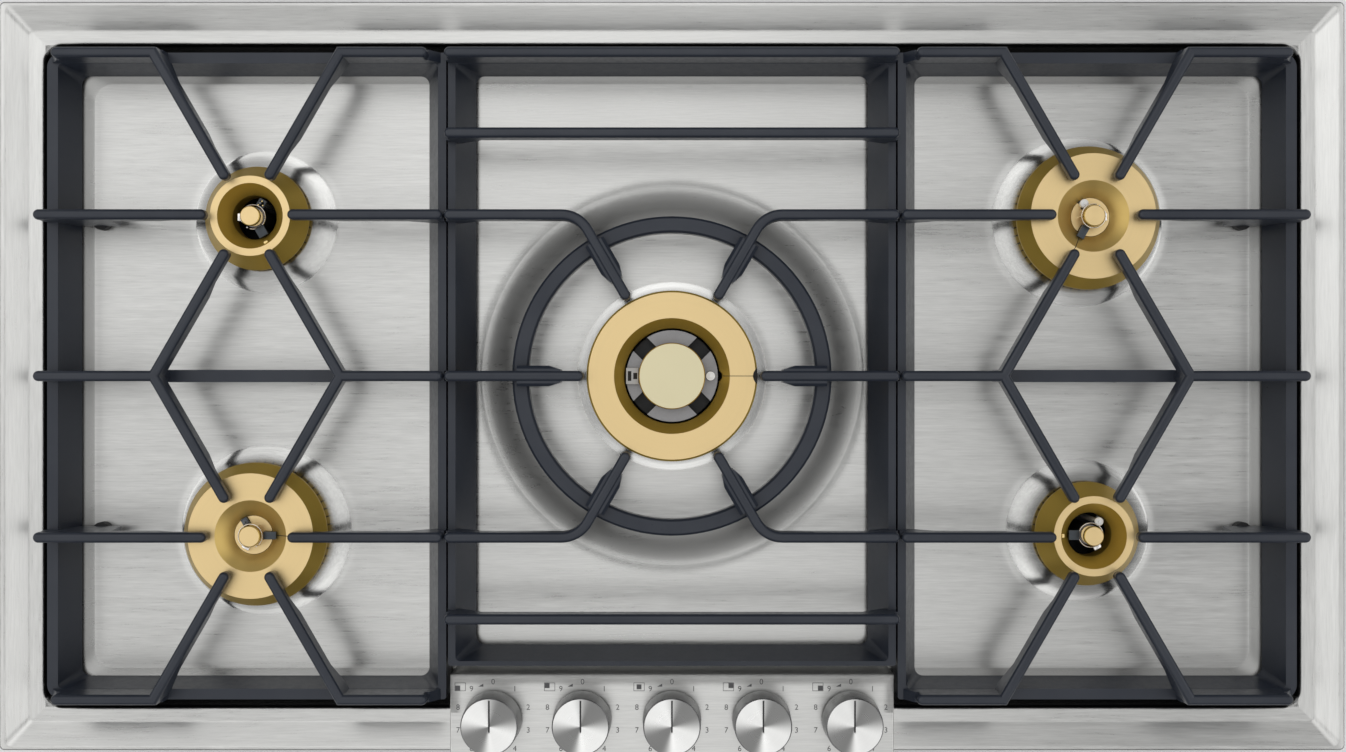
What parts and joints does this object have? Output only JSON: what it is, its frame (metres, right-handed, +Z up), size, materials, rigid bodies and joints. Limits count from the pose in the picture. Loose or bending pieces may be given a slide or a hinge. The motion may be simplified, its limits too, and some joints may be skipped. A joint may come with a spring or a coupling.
{
  "type": "built-in gas cooktop",
  "caption": "Built-in gas cooktop: pressed steel tray, brass burners, cast-iron pan supports with a wok ring, and turning press-in knobs in front.",
  "frame": {"origin": "under the middle of the object's outline, on the underside of its casing", "axes": "+X to the right as the cook sees it, +Y to the back, +Z up"},
  "size_m": [0.916, 0.52, 0.105],
  "materials": {
    "brushed_stainless": "brushed along the width",
    "galvanised_steel": "galvanised sheet, dull",
    "black_foam": "closed-cell foam",
    "gas_pipe": "drawn tube",
    "plated_brass": "turned and pressed, dull",
    "cup_alloy": "die-cast",
    "burner_brass": "turned, satin",
    "electrode_ceramic": "glazed white ceramic",
    "sensor_steel": "heat-darkened steel",
    "housing_plastic": "moulded, fine grain",
    "cast_iron": "black enamel, matt",
    "foot_rubber": "moulded rubber",
    "spindle_steel": "turned",
    "knob_alloy": "face spun in rings, side satin"
  },
  "bodies": {
    "cooktop": {"hob_tray": "brushed_stainless", "control_panel": "brushed_stainless", "burner_box": "galvanised_steel", "worktop_clamps": "galvanised_steel", "clamp_screws": "galvanised_steel", "worktop_seal": "black_foam", "gas_rail": "gas_pipe", "pipe_left_front": "gas_pipe", "pipe_left_rear": "gas_pipe", "pipe_right_front": "gas_pipe", "pipe_right_rear": "gas_pipe", "pipe_centre_inner": "gas_pipe", "pipe_centre_outer": "gas_pipe", "gas_inlet": "plated_brass", "gas_valve_1": "plated_brass", "gas_valve_2": "plated_brass", "gas_valve_3": "plated_brass", "gas_valve_4": "plated_brass", "gas_valve_5": "plated_brass", "burner_cup_left_rear": "cup_alloy", "burner_cup_left_front": "cup_alloy", "burner_cup_centre": "cup_alloy", "burner_cup_right_rear": "cup_alloy", "burner_cup_right_front": "cup_alloy", "burner_ring_left_rear": "burner_brass", "burner_ring_left_front": "burner_brass", "burner_ring_centre": "burner_brass", "burner_ring_right_rear": "burner_brass", "burner_ring_right_front": "burner_brass", "spark_electrodes": "electrode_ceramic", "flame_sensors": "sensor_steel", "ignition_module": "housing_plastic", "terminal_box": "housing_plastic"},
    "cap_left_rear": {"burner_cap_left_rear": "burner_brass"},
    "cap_left_front": {"burner_cap_left_front": "burner_brass"},
    "cap_centre": {"burner_cap_centre": "burner_brass"},
    "cap_right_rear": {"burner_cap_right_rear": "burner_brass"},
    "cap_right_front": {"burner_cap_right_front": "burner_brass"},
    "left_support": {"left_pan_support": "cast_iron", "left_support_feet": "foot_rubber"},
    "centre_support": {"centre_pan_support": "cast_iron", "centre_support_feet": "foot_rubber"},
    "right_support": {"right_pan_support": "cast_iron", "right_support_feet": "foot_rubber"},
    "tap_1": {"thrust_collar_1": "spindle_steel"},
    "knob_1": {"control_knob_1": "knob_alloy", "tap_spindle_1": "spindle_steel"},
    "tap_2": {"thrust_collar_2": "spindle_steel"},
    "knob_2": {"control_knob_2": "knob_alloy", "tap_spindle_2": "spindle_steel"},
    "tap_3": {"thrust_collar_3": "spindle_steel"},
    "knob_3": {"control_knob_3": "knob_alloy", "tap_spindle_3": "spindle_steel"},
    "tap_4": {"thrust_collar_4": "spindle_steel"},
    "knob_4": {"control_knob_4": "knob_alloy", "tap_spindle_4": "spindle_steel"},
    "tap_5": {"thrust_collar_5": "spindle_steel"},
    "knob_5": {"control_knob_5": "knob_alloy", "tap_spindle_5": "spindle_steel"}
  },
  "joints": [
    {"name": "cap_left_rear_lift", "type": "slide", "parent": "cooktop", "child": "cap_left_rear", "axis": [0, 0, 1], "range_m": [0, 0.06]},
    {"name": "cap_left_front_lift", "type": "slide", "parent": "cooktop", "child": "cap_left_front", "axis": [0, 0, 1], "range_m": [0, 0.06]},
    {"name": "cap_centre_lift", "type": "slide", "parent": "cooktop", "child": "cap_centre", "axis": [0, 0, 1], "range_m": [0, 0.06]},
    {"name": "cap_right_rear_lift", "type": "slide", "parent": "cooktop", "child": "cap_right_rear", "axis": [0, 0, 1], "range_m": [0, 0.06]},
    {"name": "cap_right_front_lift", "type": "slide", "parent": "cooktop", "child": "cap_right_front", "axis": [0, 0, 1], "range_m": [0, 0.06]},
    {"name": "left_support_lift", "type": "slide", "parent": "cooktop", "child": "left_support", "axis": [0, 0, 1], "range_m": [0, 0.09]},
    {"name": "centre_support_lift", "type": "slide", "parent": "cooktop", "child": "centre_support", "axis": [0, 0, 1], "range_m": [0, 0.09]},
    {"name": "right_support_lift", "type": "slide", "parent": "cooktop", "child": "right_support", "axis": [0, 0, 1], "range_m": [0, 0.09]},
    {"name": "knob_1_press", "type": "slide", "parent": "cooktop", "child": "tap_1", "axis": [0, 0, -1], "range_m": [0, 0.003], "stiffness_N_per_m": 2000, "springref_m": -0.002},
    {"name": "knob_1_turn", "type": "hinge", "parent": "tap_1", "child": "knob_1", "pos_m": [-0.1206, -0.226, 0.096], "axis": [0, 0, 1], "range_deg": [0, 324]},
    {"name": "knob_2_press", "type": "slide", "parent": "cooktop", "child": "tap_2", "axis": [0, 0, -1], "range_m": [0, 0.003], "stiffness_N_per_m": 2000, "springref_m": -0.002},
    {"name": "knob_2_turn", "type": "hinge", "parent": "tap_2", "child": "knob_2", "pos_m": [-0.0603, -0.226, 0.096], "axis": [0, 0, 1], "range_deg": [0, 324]},
    {"name": "knob_3_press", "type": "slide", "parent": "cooktop", "child": "tap_3", "axis": [0, 0, -1], "range_m": [0, 0.003], "stiffness_N_per_m": 2000, "springref_m": -0.002},
    {"name": "knob_3_turn", "type": "hinge", "parent": "tap_3", "child": "knob_3", "pos_m": [0, -0.226, 0.096], "axis": [0, 0, 1], "range_deg": [0, 324]},
    {"name": "knob_4_press", "type": "slide", "parent": "cooktop", "child": "tap_4", "axis": [0, 0, -1], "range_m": [0, 0.003], "stiffness_N_per_m": 2000, "springref_m": -0.002},
    {"name": "knob_4_turn", "type": "hinge", "parent": "tap_4", "child": "knob_4", "pos_m": [0.0603, -0.226, 0.096], "axis": [0, 0, 1], "range_deg": [0, 324]},
    {"name": "knob_5_press", "type": "slide", "parent": "cooktop", "child": "tap_5", "axis": [0, 0, -1], "range_m": [0, 0.003], "stiffness_N_per_m": 2000, "springref_m": -0.002},
    {"name": "knob_5_turn", "type": "hinge", "parent": "tap_5", "child": "knob_5", "pos_m": [0.1206, -0.226, 0.096], "axis": [0, 0, 1], "range_deg": [0, 324]}
  ]
}
